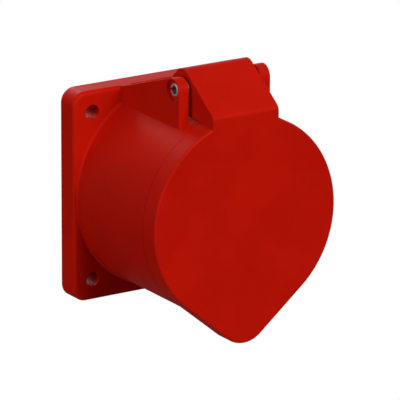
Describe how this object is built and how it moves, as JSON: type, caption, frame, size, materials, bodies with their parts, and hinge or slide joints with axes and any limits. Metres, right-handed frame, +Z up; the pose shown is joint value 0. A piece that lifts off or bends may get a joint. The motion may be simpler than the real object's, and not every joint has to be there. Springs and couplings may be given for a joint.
{
  "type": "industrial panel socket",
  "caption": "Red industrial panel socket: square flange, round body with contacts in a collar, sprung hinged lid.",
  "frame": {"origin": "centre of the square flange on the panel's face, where the flange's back lies", "axes": "+Z up with the hinge at the top, -Y straight out of the panel towards the user, +X to the right seen from the front"},
  "size_m": [0.075, 0.0695, 0.0945],
  "materials": {
    "red_shell": "satin polyamide",
    "black_insert": "black polyamide",
    "black_rubber": "soft black rubber",
    "pin_steel": "stainless steel",
    "screw_steel": "zinc-plated steel",
    "contact_metal": "nickel-plated brass"
  },
  "bodies": {
    "housing": {"housing": "red_shell", "flange_gasket": "black_rubber", "hinge_pin": "pin_steel", "lid_spring": "pin_steel", "contact_carrier": "black_insert", "foot_plate": "black_insert", "terminal_cover": "black_insert", "carrier_screws": "screw_steel", "centre_screw": "screw_steel", "terminal_screws": "screw_steel", "contact_pe": "contact_metal", "contact_l1": "contact_metal", "contact_l2": "contact_metal", "contact_l3": "contact_metal", "contact_n": "contact_metal", "clip_pe": "screw_steel", "clip_l1": "screw_steel", "clip_l2": "screw_steel", "clip_l3": "screw_steel", "clip_n": "screw_steel"},
    "lid": {"lid": "red_shell", "lid_seal": "black_rubber"}
  },
  "joints": [
    {"name": "lid_hinge", "type": "hinge", "parent": "housing", "child": "lid", "pos_m": [0, -0.0409, 0.044], "axis": [-1, 0, 0], "range_deg": [0, 100], "stiffness_Nm_per_rad": 0.03, "springref_deg": -68.75, "deforming": ["lid_spring"]}
  ]
}
